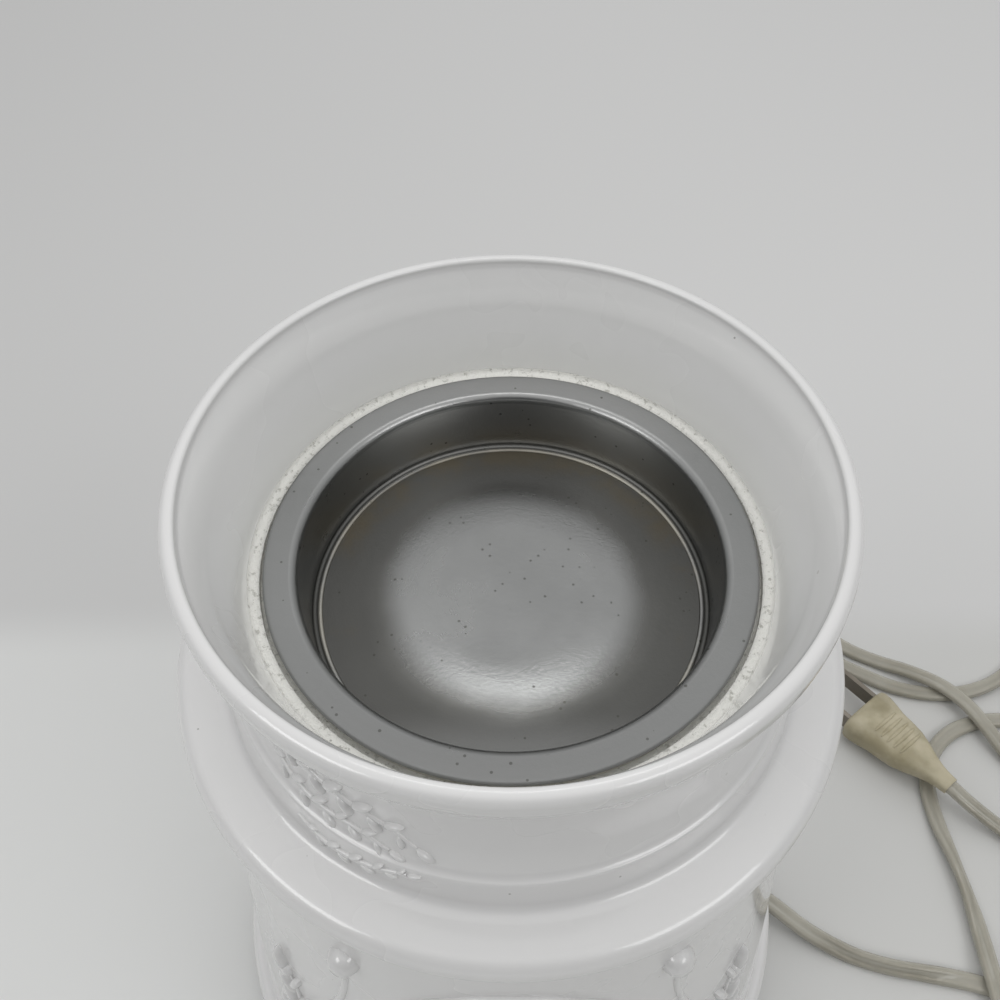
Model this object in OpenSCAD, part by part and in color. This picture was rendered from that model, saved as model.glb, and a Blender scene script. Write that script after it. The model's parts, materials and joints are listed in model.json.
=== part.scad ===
// Electric wax melt warmer: glazed ceramic churn body, lift-out metal dish, heated pan, mains cord.
// Millimetres, +Z up, origin on the table under the middle of the body.

/* [Body] */
// Height from the table to the top of the mouth
total_h = 200; // [190:1:230]
// Outer radius of the mouth's lip
rim_r = 52; // [50:0.5:56]
// Thickness of the rounded lip
lip_t = 2.5; // [2.2:0.1:3.2]
// Outer radius of the neck at its waist
waist_r = 46; // [45:0.5:47]
// Depth of the waist below the rim
waist_depth = 20; // [18:0.5:22]
// Radius of the fine step round the neck
bead_r = 49.4; // [48.8:0.1:50.5]
// Depth of that step below the rim
bead_depth = 36; // [34:0.5:37]
// Outer radius of the collar
collar_r = 60.5; // [58:0.5:64]
// Depth of the collar's top below the rim
collar_depth = 43; // [42:0.5:46]
// Thickness of the collar at its edge
collar_t = 4.8; // [4.4:0.1:6]
// Radius of the body just under the collar
shoulder_r = 56.2; // [55:0.2:57.5]
// Outer radius of the foot band
band_r = 75.4; // [75:0.1:78]
// How far the foot band stands out from the body above it
band_step = 3.6; // [2.8:0.1:5]
// Height of the foot band
band_h = 13; // [12:0.5:16]
// Thickness of the ceramic wall
wall = 4.4; // [4:0.1:5]

/* [Mouth] */
// Radius of the bare ledge inside the mouth
ledge_r = 42.6; // [42.2:0.1:43]
// Depth of the ledge below the rim
ledge_depth = 23.3; // [22:0.1:25]
// Thickness of the ledge
ledge_t = 5; // [4:0.5:6]
// Depth of the seat in the ledge that takes the flanges of the pan and the dish
seat_depth = 1.4; // [1:0.1:1.5]

/* [Dish] */
// Radius of the dish over its flange
dish_r = 40.8; // [40.4:0.1:41.2]
// Inner radius of the dish under the flange's bend
dish_wall_r = 35.2; // [34.8:0.1:35.8]
// Depth of the dish inside
dish_depth = 12.8; // [11:0.2:14]
// Thickness of the dish's sheet
dish_t = 0.9; // [0.7:0.1:1.1]

/* [Heater] */
// Thickness of the heated pan's sheet
pan_t = 1; // [0.8:0.1:1.2]
// Radius of the heating element
element_r = 26; // [22:0.5:27]
// Thickness of the heating element
element_t = 4; // [3:0.5:4.5]
// Thickness of the insulation under the element
insulation_t = 3; // [2:0.5:4]
// Radius of the tie rod
rod_r = 2.5; // [2:0.1:3]

/* [Base] */
// Thickness of the rubber feet
foot_t = 1.5; // [1:0.1:2.5]
// Radius of one foot
foot_r = 6; // [5:0.5:8]
// Number of feet
foot_count = 4; // [3:1:6]
// Thickness of the base plate
plate_t = 1.5; // [1.2:0.1:2]

/* [Cord] */
// Width of the flat cord
cord_w = 5.2; // [5.2:0.1:5.4]
// Thickness of the flat cord
cord_t = 2.7; // [2.7:0.1:2.8]

/* [Plug and switch] */
// Width of the plug at its front
plug_w = 21; // [20:0.5:23]
// Thickness of the plug
plug_h = 11; // [10:0.5:12]
// Length of the plug's body
plug_len = 26; // [24:0.5:30]
// Distance between the plug's blades
blade_gap = 12.7; // [12.5:0.1:13]
// Length of the blades outside the plug
blade_len = 17.5; // [15:0.5:18]
// Length of the switch on the cord
switch_len = 52; // [50:1:52]
// Width of the switch
switch_w = 22; // [20:0.5:24]
// Height of the switch
switch_h = 18; // [17:0.5:20]
// Radius of the switch's thumb wheel
wheel_r = 9; // [8:0.5:9.5]

/* [Hidden] */

$fn = 96;
slack = 0.2;           // working clearance between loose neighbours
lift_gap = 0.3;        // clearance between the dish and what stays below it
glaze = "#e9e8e4";
metal = "#8d8d8b";
steel = "#b9bab8";
clear_pvc = "#9b967f";

// Levels that follow from the sizes above
plate_top = foot_t + plate_t;
base_z = plate_top;                     // bottom edge of the ceramic
function below_rim(depth) = total_h - depth;
ledge_z = below_rim(ledge_depth);
gasket_t = 0.6;
pan_flange_z = ledge_z + gasket_t;      // underside of the pan's flange
dish_flange_z = pan_flange_z + pan_t;   // underside of the dish's flange
dish_floor_z = dish_flange_z + dish_t - dish_depth;
pan_floor_top = dish_floor_z - dish_t - lift_gap;
pan_under_z = pan_floor_top - pan_t;
pan_wall_r = dish_wall_r + dish_t + 0.9;        // inner radius of the pan
pan_flange_r = pan_wall_r + pan_t + 2;
ledge_hole_r = pan_wall_r + pan_t + 0.6;
element_z = pan_under_z - element_t;
insulation_r = element_r + 2;
insulation_z = element_z - insulation_t;
clamp_t = 1;
clamp_z = insulation_z - clamp_t;
clamp_r = insulation_r + 1.5;
nut_r = rod_r * 1.85;
nut_h = rod_r * 1.6;
rod_hole_r = rod_r + slack;
thread_r = rod_r + 0.05;
shield_t = 0.6;
shield_r = clamp_r + 3;
shield_z = clamp_z - 9;                 // underside of the shield's disc
boss_r = 14;                            // raised middle of the base plate
boss_z = 7.5;                           // underside of that boss
washer_t = 1;
skirt_r = band_r - band_step;           // radius of the body where it meets the foot band
plate_r = band_r - 2.6;

// Line on which the cord leaves, from the cord clamp out through the foot band
exit_turn = -36;
exit_at = [band_r - 0.1, -3.3];
cord_hole_z = 6.4;
notch_w = 11;
notch_h = 8.2;

// Where the switch, the coil and the plug lie on the table
switch_mid = [189, -46.1, switch_h / 2];
switch_turn = -21;
coil_mid = [215, 64];
coil_r = 33;                            // radius of the coil's outer turn
coil_in = -140;                         // where the cord joins the lower layer
coil_out = 115;                         // where it leaves the upper layer
coil_loops = 3;                         // whole turns besides the part turn
coil_pitch = cord_w + 0.6;
coil_rise = cord_t + 0.7;
lay_z = cord_t / 2 + 0.05;              // middle of a cord that lies on the table
plug_rear = [134.2, 36.8];
plug_turn = 128;                        // way the blades point, seen from above
plug_tilt = 5;                          // its rear rests on the cord under it
plug_lift = 3.1;

// Points that the free cord follows, from the body to the plug
from_body_path = [
    [46, 18, 6.4], [56, 10.7, 6.4], [67, 2.7, 6.4], [78, -5.3, 6.1], [88, -12.3, 3.4],
    [99, -18, lay_z], [110, -21.5, lay_z], [122, -23.5, lay_z], [133, -25.5, lay_z],
    [143, -28.4, lay_z], [151.5, -31.6, 3.6], [158, -34.2, 7.6], [164.7, -36.8, 9]
];
middle_path = [
    [213.3, -55.4, 9], [220, -58, 7.6], [231, -65.2, 3.4], [237, -77, lay_z],
    [235.5, -91.5, lay_z], [226, -102, lay_z], [212, -105.5, lay_z], [198.5, -102, lay_z],
    [186, -94.5, lay_z], [173.5, -85, lay_z], [162, -75, lay_z], [152, -63.5, lay_z],
    [144, -51, lay_z], [139.5, -38.5, 2.6], [138.3, -26, 4.4], [138.8, -13.5, 2.6],
    [138.5, -1, lay_z], [137, 11, lay_z], [135.4, 22, lay_z], [135.4, 33, lay_z],
    [138.8, 43, lay_z], [145.5, 50.5, lay_z], [154, 55, lay_z], [163, 56.8, lay_z],
    [172, 56, lay_z], [180, 52.2, lay_z]
];
to_plug_path = [
    [192, 88.5, 4.2], [183.5, 82, 2.4], [175, 75.6, lay_z], [166, 70.2, lay_z],
    [155.5, 67.2, lay_z], [144, 67, lay_z], [133, 69.5, lay_z], [123, 74.5, lay_z],
    [113, 80, lay_z], [101, 85, lay_z], [89, 88.8, lay_z], [77.5, 92.5, lay_z],
    [66.8, 99.8, lay_z], [61.1, 112, lay_z], [62.7, 125.5, lay_z], [72, 135.8, lay_z],
    [85.5, 139, lay_z], [98, 134.2, lay_z], [105.5, 123, lay_z], [107, 110.5, lay_z],
    [109, 99.5, lay_z], [113.5, 90.5, lay_z], [120.5, 84.3, lay_z], [129.5, 79.6, lay_z],
    [139, 75, 2.8], [148, 68.7, 4.6], [155, 61, 4.9], [160, 51.5, 4.4], [165.5, 42, 2.3],
    [173, 35, lay_z], [182, 30, lay_z], [192.5, 26, lay_z], [203, 19.5, lay_z],
    [209.5, 9, lay_z], [209, -3.5, lay_z], [201.5, -13.5, lay_z], [189.5, -17.8, lay_z],
    [177.5, -15.3, lay_z], [169, -7, lay_z], [165.2, 3.5, lay_z], [161.8, 11.5, lay_z],
    [156, 17.6, 2.6], [150, 21.8, 4.9], [144.4, 25.7, 7.4]
];

// Small helpers
function unit(v) = v / norm(v);
function round_to(c, r, from, to, n = 6) =
    [for (i = [0:n]) let (a = from + (to - from) * i / n) c + r * [cos(a), sin(a)]];
function bend(a, b, c, n = 7) =
    [for (i = [0:n]) let (t = i / n) (1 - t) * (1 - t) * a + 2 * t * (1 - t) * b + t * t * c];
function flat3(p) = [p[0], p[1], 0];

module ring(r_out, r_in, h) {
    difference() {
        cylinder(r = r_out, h = h);
        translate([0, 0, -1]) cylinder(r = r_in, h = h + 2);
    }
}

module hex_nut(r, h, bore) {
    difference() {
        cylinder(r = r, h = h, $fn = 6);
        translate([0, 0, -1]) cylinder(r = bore, h = h + 2);
    }
}

module slotted_head(r, h, slot) {
    difference() {
        cylinder(r = r, h = h, $fn = 32);
        translate([-r, -slot / 2, h - slot]) cube([2 * r, slot, 2 * slot]);
    }
}

// Tube of an oval section along points: the width stays level on a cord that lies flat
function run_of(p, i) = unit(p[min(i + 1, len(p) - 1)] - p[max(i - 1, 0)]);
function carried(p, i, last) =
    let (t = run_of(p, i), n = unit(last - (last * t) * t))
    i == len(p) - 1 ? [n] : concat([n], carried(p, i + 1, n));
function sides_of(p, level) =
    level ? [for (i = [0:len(p) - 1]) unit(cross([0, 0, 1], flat3(run_of(p, i))))]
          : carried(p, 0, abs(run_of(p, 0)[2]) > 0.7 ? [1, 0, 0] : [0, 0, 1]);

module oval_tube(p, w, h, n = 8, level = true) {
    side = sides_of(p, level);
    points = [for (i = [0:len(p) - 1], k = [0:n - 1])
        let (up = cross(run_of(p, i), side[i]), a = 360 * (k + 0.5) / n)
        p[i] + side[i] * cos(a) * w / 2 + up * sin(a) * h / 2];
    last = (len(p) - 1) * n;
    skin = [for (i = [0:len(p) - 2], k = [0:n - 1]) let (a = i * n + k, b = i * n + (k + 1) % n)
        each [[a, b + n, b], [a, a + n, b + n]]];
    caps = [for (k = [1:n - 2]) each [[0, k, k + 1], [last, last + k + 1, last + k]]];
    polyhedron(points, concat(skin, caps));
}

// Ceramic body: one revolved wall, a ledge for the pan and a notch for the cord
neck_foot_r = bead_r + 2.6;
collar_top_z = below_rim(collar_depth);
collar_low_z = collar_top_z - collar_t;
shoulder_z = below_rim(collar_depth + 13);
skirt_z = base_z + band_h;
lip_r = lip_t - 0.8;
seat_r = dish_r + 0.6;
cavity_top_z = ledge_z - ledge_t;

function outer_wall() = concat(
    round_to([band_r - 1.5, base_z + 1.5], 1.5, -90, 0, 4),
    round_to([band_r - 3.2, base_z + band_h - 4.2], 3.2, 0, 75, 6),
    [[skirt_r, skirt_z]],
    bend([shoulder_r + 0.7, shoulder_z - 5], [shoulder_r, shoulder_z],
         [shoulder_r - 1.6, collar_low_z - 1.2]),
    [[collar_r - 1.8, collar_low_z]],
    round_to([collar_r - 1.5, collar_low_z + 1.5], 1.5, -75, 0, 4),
    round_to([collar_r - 3.2, collar_top_z - 3.1], 3.2, 4, 84, 7),
    bend([neck_foot_r + 1.5, collar_top_z + 0.2], [neck_foot_r - 0.8, collar_top_z + 0.4],
         [neck_foot_r - 1.1, collar_top_z + 2]),
    round_to([bead_r - 0.2, below_rim(bead_depth + 0.7)], 0.7, 10, 80, 4),
    bend([bead_r - 0.9, below_rim(bead_depth - 0.6)], [waist_r, below_rim(waist_depth + 10)],
         [waist_r, below_rim(waist_depth)]),
    bend([waist_r + 0.1, below_rim(waist_depth - 3)], [waist_r + 1.5, below_rim(waist_depth / 2)],
         [rim_r - 0.6, below_rim(6.4)]),
    round_to([rim_r - lip_r, below_rim(lip_r + 1.6)], lip_r, -25, 0, 3),
    round_to([rim_r - lip_r, below_rim(lip_r)], lip_r, 0, 88, 8),
    round_to([rim_r - lip_t + 0.7, below_rim(0.7)], 0.7, 90, 180, 4)
);
function inner_wall() = concat(
    bend([rim_r - lip_t - 0.1, below_rim(1.4)], [rim_r - lip_t - 1.6, below_rim(4)],
         [rim_r - lip_t - 2.8, below_rim(8)], 5),
    bend([rim_r - lip_t - 2.9, below_rim(8.4)], [ledge_r + 1.4, below_rim(ledge_depth - 6)],
         [ledge_r + 0.6, ledge_z + seat_depth + 0.9]),
    [[ledge_r - 0.2, ledge_z + seat_depth + 0.1], [seat_r + 0.2, ledge_z + seat_depth],
     [seat_r, ledge_z + seat_depth - 0.2], [seat_r, ledge_z],
     [ledge_hole_r, ledge_z], [ledge_hole_r, cavity_top_z],
     [waist_r - wall, cavity_top_z - 2.5]],
    bend([waist_r - wall + 0.6, below_rim(bead_depth - 4)], [bead_r - wall, below_rim(bead_depth)],
         [neck_foot_r - wall, collar_top_z]),
    [[shoulder_r - wall - 0.6, collar_low_z - 3], [shoulder_r - wall + 0.4, shoulder_z - 5],
     [skirt_r - wall, skirt_z], [skirt_r - wall + 0.6, base_z]]
);

module along_exit() {
    translate([exit_at[0], exit_at[1], 0]) rotate(exit_turn) children();
}

module ceramic_body() {
    color(glaze)
    difference() {
        rotate_extrude() polygon(concat(outer_wall(), inner_wall()));
        along_exit() translate([-14, -notch_w / 2, base_z - 1]) cube([24, notch_w, notch_h + 1]);
    }
}

// A drawn sheet cup with a flat flange, used for the dish and for the pan under it
module drawn_cup(flange_r, wall_r, depth, t, corner, fillet) {
    low_r = wall_r - depth * 0.05;
    rotate_extrude() polygon(concat(
        [[0, -depth], [0, t - depth]],
        round_to([low_r - fillet, t - depth + fillet], fillet, -90, 0),
        round_to([wall_r + corner, t - corner], corner, 180, 90),
        round_to([flange_r - t / 2, t / 2], t / 2, 90, -90, 6),
        round_to([wall_r + corner, t - corner], corner - t, 90, 180),
        round_to([low_r - fillet, t - depth + fillet], fillet + t, 0, -90)
    ));
}

module wax_dish() {
    color(metal) translate([0, 0, dish_flange_z])
        drawn_cup(dish_r, dish_wall_r, dish_depth, dish_t, 1.5, 1.4);
}

module heating_pan() {
    color(steel) translate([0, 0, pan_flange_z])
        drawn_cup(pan_flange_r, pan_wall_r, pan_flange_z + pan_t - pan_floor_top, pan_t, 1.6, 1.8);
}

module pan_gasket() {
    color("#d8d4c8") translate([0, 0, ledge_z])
        ring(pan_flange_r + 0.2, ledge_hole_r, gasket_t);
}

// Heater stack, pulled up against the pan by a nut on the tie rod
module tie_rod() {
    color(steel) {
        translate([0, 0, pan_under_z - 1.5]) cylinder(r = rod_r + 4, h = 1.5);
        translate([0, 0, foot_t + 0.6]) cylinder(r = rod_r, h = pan_under_z - foot_t - 1.6);
    }
}

tab_l = 4;
tab_z = element_z + 1;

module tab(turn) {
    rotate(turn) translate([element_r - 0.5, -1.5, tab_z]) cube([tab_l, 3, 1]);
}

module heater_element() {
    color("#6d665a")
    union() {
        translate([0, 0, element_z]) ring(element_r, rod_r + 4 + slack, element_t);
        tab(180);
        tab(210);
    }
}

module insulation_disc() {
    color("#dcd6c6") translate([0, 0, insulation_z]) ring(insulation_r, rod_hole_r, insulation_t);
}

module heater_clamp() {
    color(steel) translate([0, 0, clamp_z])
    difference() {
        union() {
            cylinder(r = clamp_r, h = clamp_t);
            translate([-5, 0, 0]) cube([10, clamp_r + 5, clamp_t]);
        }
        translate([0, 0, -1]) cylinder(r = rod_hole_r, h = clamp_t + 2);
        for (turn = [30:120:270]) rotate(turn)
            translate([clamp_r * 0.55, 0, -1]) cylinder(r = 5, h = clamp_t + 2);
    }
}

module clamp_nut() {
    color("#cbb777") translate([0, 0, clamp_z - nut_h]) hex_nut(nut_r, nut_h, thread_r);
}

module heat_shield() {
    color(steel) translate([0, 0, shield_z])
    difference() {
        cylinder(r = shield_r, h = 6);
        translate([0, 0, shield_t]) cylinder(r = shield_r - shield_t, h = 6);
        translate([0, 0, -1]) cylinder(r = rod_hole_r, h = 4);
    }
}

module shield_nuts() {
    color("#cbb777") {
        translate([0, 0, shield_z - nut_h]) hex_nut(nut_r, nut_h, thread_r);
        translate([0, 0, shield_z + shield_t])
            hex_nut(nut_r, clamp_z - nut_h - shield_z - shield_t - 0.2, thread_r);
    }
}

// Thermal fuse, lying under the pan's floor beside the element
fuse_r = 2;
fuse_len = 11;
fuse_y = element_r + fuse_r + 2.6;
fuse_z = pan_under_z - fuse_r - 0.1;
fuse_wire_r = 0.6;
fuse_end = fuse_len / 2 + 5;

module thermal_fuse() {
    color("#c9c9c4") translate([0, fuse_y, fuse_z]) rotate([0, 90, 0]) {
        translate([0, 0, -fuse_len / 2]) cylinder(r = fuse_r, h = fuse_len, $fn = 32);
        translate([0, 0, -fuse_end]) cylinder(r = fuse_wire_r, h = 2 * fuse_end, $fn = 16);
    }
}

module fuse_clip() {
    low = clamp_z + clamp_t;
    seat = fuse_z - fuse_r - 0.1;
    color(steel) translate([0, fuse_y, 0]) rotate([90, 0, 0]) translate([0, 0, -3])
    linear_extrude(5) polygon([
        [-3.5, low], [3.5, low], [3.5, low + 0.6], [0.6, low + 0.6], [0.6, seat - 0.6],
        [2.6, seat - 0.6], [2.6, seat], [-2.6, seat], [-2.6, seat - 0.6], [-0.6, seat - 0.6],
        [-0.6, low + 0.6], [-3.5, low + 0.6]
    ]);
}

// Insulated leads inside the body
lead_d = 2.4;
block_mid = [0, 38];
block_size = [24, 18, 12];
pole_x = 6;
lead_hole_z = plate_top + 6;
side_r = shield_r + 3.6;
tab_mid_r = element_r + 2.3;
lead_z = tab_z + 0.5;

function on_ring(r, turn, z) = [r * cos(turn), r * sin(turn), z];
link_lead = concat(
    [for (turn = [176:-12:128]) on_ring(tab_mid_r + (176 - turn) * 0.04, turn, lead_z)],
    [[-fuse_end - 5, fuse_y - 1.2, lead_z], [-fuse_end - 2, fuse_y, fuse_z], [-fuse_end, fuse_y, fuse_z]]
);
live_lead = [
    [fuse_end, fuse_y, fuse_z], [fuse_end + 3, fuse_y, fuse_z], [fuse_end + 7, fuse_y - 1, fuse_z - 3],
    on_ring(side_r, 52, clamp_z), on_ring(side_r, 54, clamp_z - 12), on_ring(side_r, 60, 120),
    on_ring(side_r + 4, 68, 80), on_ring(side_r + 10, 76, 45), on_ring(side_r + 14, 80, 25),
    [pole_x + 1, 55, lead_hole_z + 4], [pole_x, 51, lead_hole_z],
    [pole_x, block_mid[1] + block_size[1] / 2, lead_hole_z]
];
neutral_lead = [
    on_ring(tab_mid_r, 206, lead_z), on_ring(tab_mid_r + 1, 198, lead_z),
    on_ring(side_r - 2, 190, lead_z - 2), on_ring(side_r, 182, clamp_z + 1),
    on_ring(side_r, 176, clamp_z - 12), on_ring(side_r, 160, 125), on_ring(side_r + 4, 140, 85),
    on_ring(side_r + 10, 118, 48), on_ring(side_r + 14, 104, 26),
    [-pole_x - 1, 55, lead_hole_z + 4], [-pole_x, 51, lead_hole_z],
    [-pole_x, block_mid[1] + block_size[1] / 2, lead_hole_z]
];

module heater_leads() {
    color("#e8e2d0") {
        oval_tube(link_lead, lead_d - 0.6, lead_d - 0.6, 6, false);
        oval_tube(live_lead, lead_d, lead_d, 6, false);
        oval_tube(neutral_lead, lead_d, lead_d, 6, false);
    }
}

module terminal_block() {
    color("#f2efe6")
    difference() {
        translate([block_mid[0] - block_size[0] / 2, block_mid[1] - block_size[1] / 2, plate_top])
            cube(block_size);
        for (x = [-pole_x, pole_x], y = [-4.5, 4.5])
            translate([x, block_mid[1] + y, plate_top + 6]) cylinder(r = 2.2, h = 10, $fn = 32);
        translate([-0.8, block_mid[1] - 12, plate_top + 9]) cube([1.6, 24, 6]);
    }
}

module terminal_screws() {
    color("#cbb777")
    for (x = [-pole_x, pole_x], y = [-4.5, 4.5])
        translate([x, block_mid[1] + y, plate_top + 6]) slotted_head(2, 4.5, 0.8);
}

// Cord clamp, grommet and the two cores between the clamp and the terminal block
clamp_at = -24.5;      // place of the cord clamp along the exit line
clamp_l = 9;
core_start = from_body_path[0];
core_run = run_of(from_body_path, 0) * 2;
core_d = 2.3;
function core_from(side) =
    let (first = core_start + side * [sin(exit_turn), -cos(exit_turn), 0] * cord_w / 4)
    [first, first - core_run];
function core_to(x) = let (south = block_mid[1] - block_size[1] / 2)
    [[x, south - 3, lead_hole_z], [x, south, lead_hole_z]];

module supply_leads() {
    color("#9b8f6a") {
        oval_tube(concat(core_from(-1), [[38, 23.5, cord_hole_z], [29, 27, 7.5], [20, 25.5, lead_hole_z],
            [11.5, 23, lead_hole_z]], core_to(pole_x)), core_d, core_d, 6, false);
        oval_tube(concat(core_from(1), [[35, 20.5, cord_hole_z], [25, 21.5, 7.5], [14, 18.5, lead_hole_z],
            [2, 17.5, lead_hole_z]], core_to(-pole_x)), core_d, core_d, 6, false);
    }
}

module cord_hole(from, to) {
    translate([from, 0, cord_hole_z]) rotate([90, 0, 90]) linear_extrude(to - from)
        square([cord_w + 2 * slack, cord_t + 2 * slack], center = true);
}

module cord_clamp() {
    color("#e6e2d6") along_exit() translate([clamp_at, 0, 0])
    difference() {
        translate([-clamp_l / 2, -10, plate_top]) cube([clamp_l, 20, 8]);
        cord_hole(-clamp_l, clamp_l);
        for (y = [-7, 7]) translate([0, y, 0]) cylinder(r = 1.6, h = 30, $fn = 32);
    }
}

module clamp_screws() {
    color(steel) along_exit() translate([clamp_at, 0, 0])
    for (y = [-7, 7]) translate([0, y, plate_top]) {
        cylinder(r = 1.5, h = 8, $fn = 32);
        translate([0, 0, 8]) slotted_head(2.7, 1.6, 0.7);
    }
}

module cord_grommet() {
    color("#8f8c80")
    intersection() {
        along_exit()
        difference() {
            translate([-14, -notch_w / 2 + slack, plate_top])
                cube([24, notch_w - 2 * slack, notch_h - slack]);
            cord_hole(-20, 20);
        }
        rotate_extrude() polygon([
            [skirt_r - wall, base_z], [band_r - 0.4, base_z],
            [band_r - 0.4, skirt_z], [skirt_r - wall, skirt_z]
        ]);
    }
}

// Base
module base_plate() {
    color("#9a9a98")
    difference() {
        union() {
            translate([0, 0, foot_t]) cylinder(r = plate_r, h = plate_t);
            translate([0, 0, foot_t]) cylinder(r1 = boss_r + 2, r2 = boss_r, h = boss_z + plate_t - foot_t);
        }
        translate([0, 0, -1]) cylinder(r = boss_r - plate_t, h = boss_z + 1);
        cylinder(r = rod_hole_r, h = 20);
        along_exit() translate([clamp_at, 0, 0])
            for (y = [-7, 7]) translate([0, y, foot_t - 1]) cylinder(r = 1.5, h = 10, $fn = 32);
    }
}

module base_washer() {
    color(steel) translate([0, 0, boss_z - washer_t]) ring(rod_r + 4.5, rod_hole_r, washer_t);
}

module base_nut() {
    color("#cbb777") translate([0, 0, boss_z - washer_t - nut_h]) hex_nut(nut_r, nut_h, thread_r);
}

module rubber_feet() {
    color("#5c5a55")
    for (i = [0:foot_count - 1]) rotate(45 + 360 * i / foot_count)
        translate([plate_r - foot_r - 3, 0, 0]) cylinder(r = foot_r, h = foot_t, $fn = 48);
}

// Free cord, its coil and the tie round the coil
coil_turn = coil_out - coil_in + 360 * coil_loops;
function coil_point(a) =
    let (mid = coil_turn / 2,
         r = coil_r - coil_pitch * (mid - abs(a - mid)) / 360,
         climb = min(1, max(0, (a - mid + 90) / 180)))
    [coil_mid[0] + r * cos(coil_in + a), coil_mid[1] + r * sin(coil_in + a), lay_z + coil_rise * climb];
coil_rings = round(coil_turn / 15);
coil_path = [for (i = [0:coil_rings]) coil_point(coil_turn * i / coil_rings)];

// Least distance between turns of the coil, with the cord's oval section taken off
function oval_gap(p, q) =
    let (d = q - p, flat = norm(flat3(d)), way = atan2(abs(d[2]) * cord_w, flat * cord_t))
    norm([flat - cord_w * cos(way), abs(d[2]) - cord_t * sin(way)]);
coil_gap = min([for (i = [0:coil_rings], j = [i + 18:coil_rings])
    if (j <= coil_rings) oval_gap(coil_path[i], coil_path[j])]);
echo(least_coil_gap = coil_gap);

module cord(path) {
    color(clear_pvc) oval_tube(path, cord_w, cord_t, 8);
}

module cord_from_body() {
    cord(from_body_path);
}

module cord_middle() {
    join = coil_path[0];
    cord(concat(middle_path, [join - run_of(coil_path, 0) * cord_w, join]));
}

module cord_coil() {
    color(clear_pvc) oval_tube(coil_path, cord_w, cord_t, 6);
}

module cord_to_plug() {
    join = coil_path[coil_rings];
    cord(concat([join, join + run_of(coil_path, coil_rings) * cord_w], to_plug_path,
        [in_plug([-tail_len - cord_w, 0, plug_h / 2]), plug_tail]));
}

module coil_tie() {
    depth = coil_pitch * coil_turn / 720 + cord_w;
    color("#f4f4f0") translate([coil_mid[0], coil_mid[1], 0]) rotate(-20)
    translate([coil_r + cord_w / 2 - depth / 2, 0, 0]) rotate([90, 0, 0]) translate([0, 0, -2])
    linear_extrude(4) difference() {
        translate([-depth / 2 - 0.9, 0]) square([depth + 1.8, coil_rise + cord_t + 1]);
        translate([-depth / 2 - 0.3, 0.03]) square([depth + 0.6, coil_rise + cord_t + 0.4]);
    }
}

// Moulded plug: its own frame has the blades along +X and the body behind them
tail_len = 3.5;
tail_w = cord_w + 2;
tail_h = cord_t + 3;
function in_plug(p) = let (
    a = [p[0] * cos(plug_tilt) + p[2] * sin(plug_tilt), p[1],
         -p[0] * sin(plug_tilt) + p[2] * cos(plug_tilt)])
    [plug_rear[0] + a[0] * cos(plug_turn) - a[1] * sin(plug_turn),
     plug_rear[1] + a[0] * sin(plug_turn) + a[1] * cos(plug_turn), plug_lift + a[2]];
plug_tail = in_plug([-tail_len, 0, plug_h / 2]);

module plug_place() {
    translate([plug_rear[0], plug_rear[1], plug_lift]) rotate(plug_turn) rotate([0, plug_tilt, 0])
        children();
}

module plug_outline() {
    polygon(concat(
        round_to([plug_len - 2.5, plug_w / 2 - 2.5], 2.5, 0, 90, 5),
        bend([plug_len * 0.7, plug_w / 2 - 0.2], [plug_len * 0.35, plug_w / 2 - 1.2], [0, 5]),
        bend([0, -5], [plug_len * 0.35, -plug_w / 2 + 1.2], [plug_len * 0.7, -plug_w / 2 + 0.2]),
        round_to([plug_len - 2.5, -plug_w / 2 + 2.5], 2.5, -90, 0, 5)
    ));
}

module plug_body() {
    color(clear_pvc) plug_place()
    difference() {
        union() {
            intersection() {
                linear_extrude(plug_h) plug_outline();
                rotate([90, 0, 0]) translate([0, 0, -plug_w]) linear_extrude(2 * plug_w) polygon([
                    [0, 2.2], [plug_len * 0.45, 0], [plug_len, 0], [plug_len, plug_h],
                    [plug_len * 0.45, plug_h], [0, plug_h - 2.2]
                ]);
            }
            translate([-tail_len, -tail_w / 2, plug_h / 2 - tail_h / 2])
                cube([tail_len + 1, tail_w, tail_h]);
        }
        for (y = [-blade_gap / 2, blade_gap / 2])
            translate([plug_len - 6, y - 0.8, plug_h / 2 - 3.2]) cube([8, 1.6, 6.4]);
    }
}

module blade(y) {
    translate([plug_len - 5.9, y - 0.75, plug_h / 2 - 3.15]) {
        difference() {
            rotate([90, 0, 0]) translate([0, 0, -1.5]) linear_extrude(1.5)
                polygon([[0, 0], [blade_len + 4.4, 0], [blade_len + 5.9, 1.5], [blade_len + 5.9, 4.8],
                         [blade_len + 4.4, 6.3], [0, 6.3]]);
            translate([blade_len + 2.2, 3, 3.15]) rotate([90, 0, 0]) cylinder(r = 1.5, h = 6, $fn = 32);
        }
    }
}

module plug_blades() {
    color("#a39a83") plug_place() {
        blade(-blade_gap / 2);
        blade(blade_gap / 2);
    }
}

// Switch on the cord: its own frame has the cord along X and the wheel's axle along Y
shell_t = 1.8;
wheel_w = 6;
axle_r = 1.2;
wheel_z = switch_h / 2 - wheel_r + 2.5;

module switch_place() {
    translate(switch_mid) rotate(switch_turn) children();
}

module switch_outline(inset) {
    half = switch_len / 2 - inset;
    side = switch_w / 2 - inset;
    polygon(concat(
        bend([half, -5 + inset], [half - 5, -side], [half - 16, -side]),
        bend([-half + 16, -side], [-half + 5, -side], [-half, -5 + inset]),
        bend([-half, 5 - inset], [-half + 5, side], [-half + 16, side]),
        bend([half - 16, side], [half - 5, side], [half, 5 - inset])
    ));
}

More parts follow.
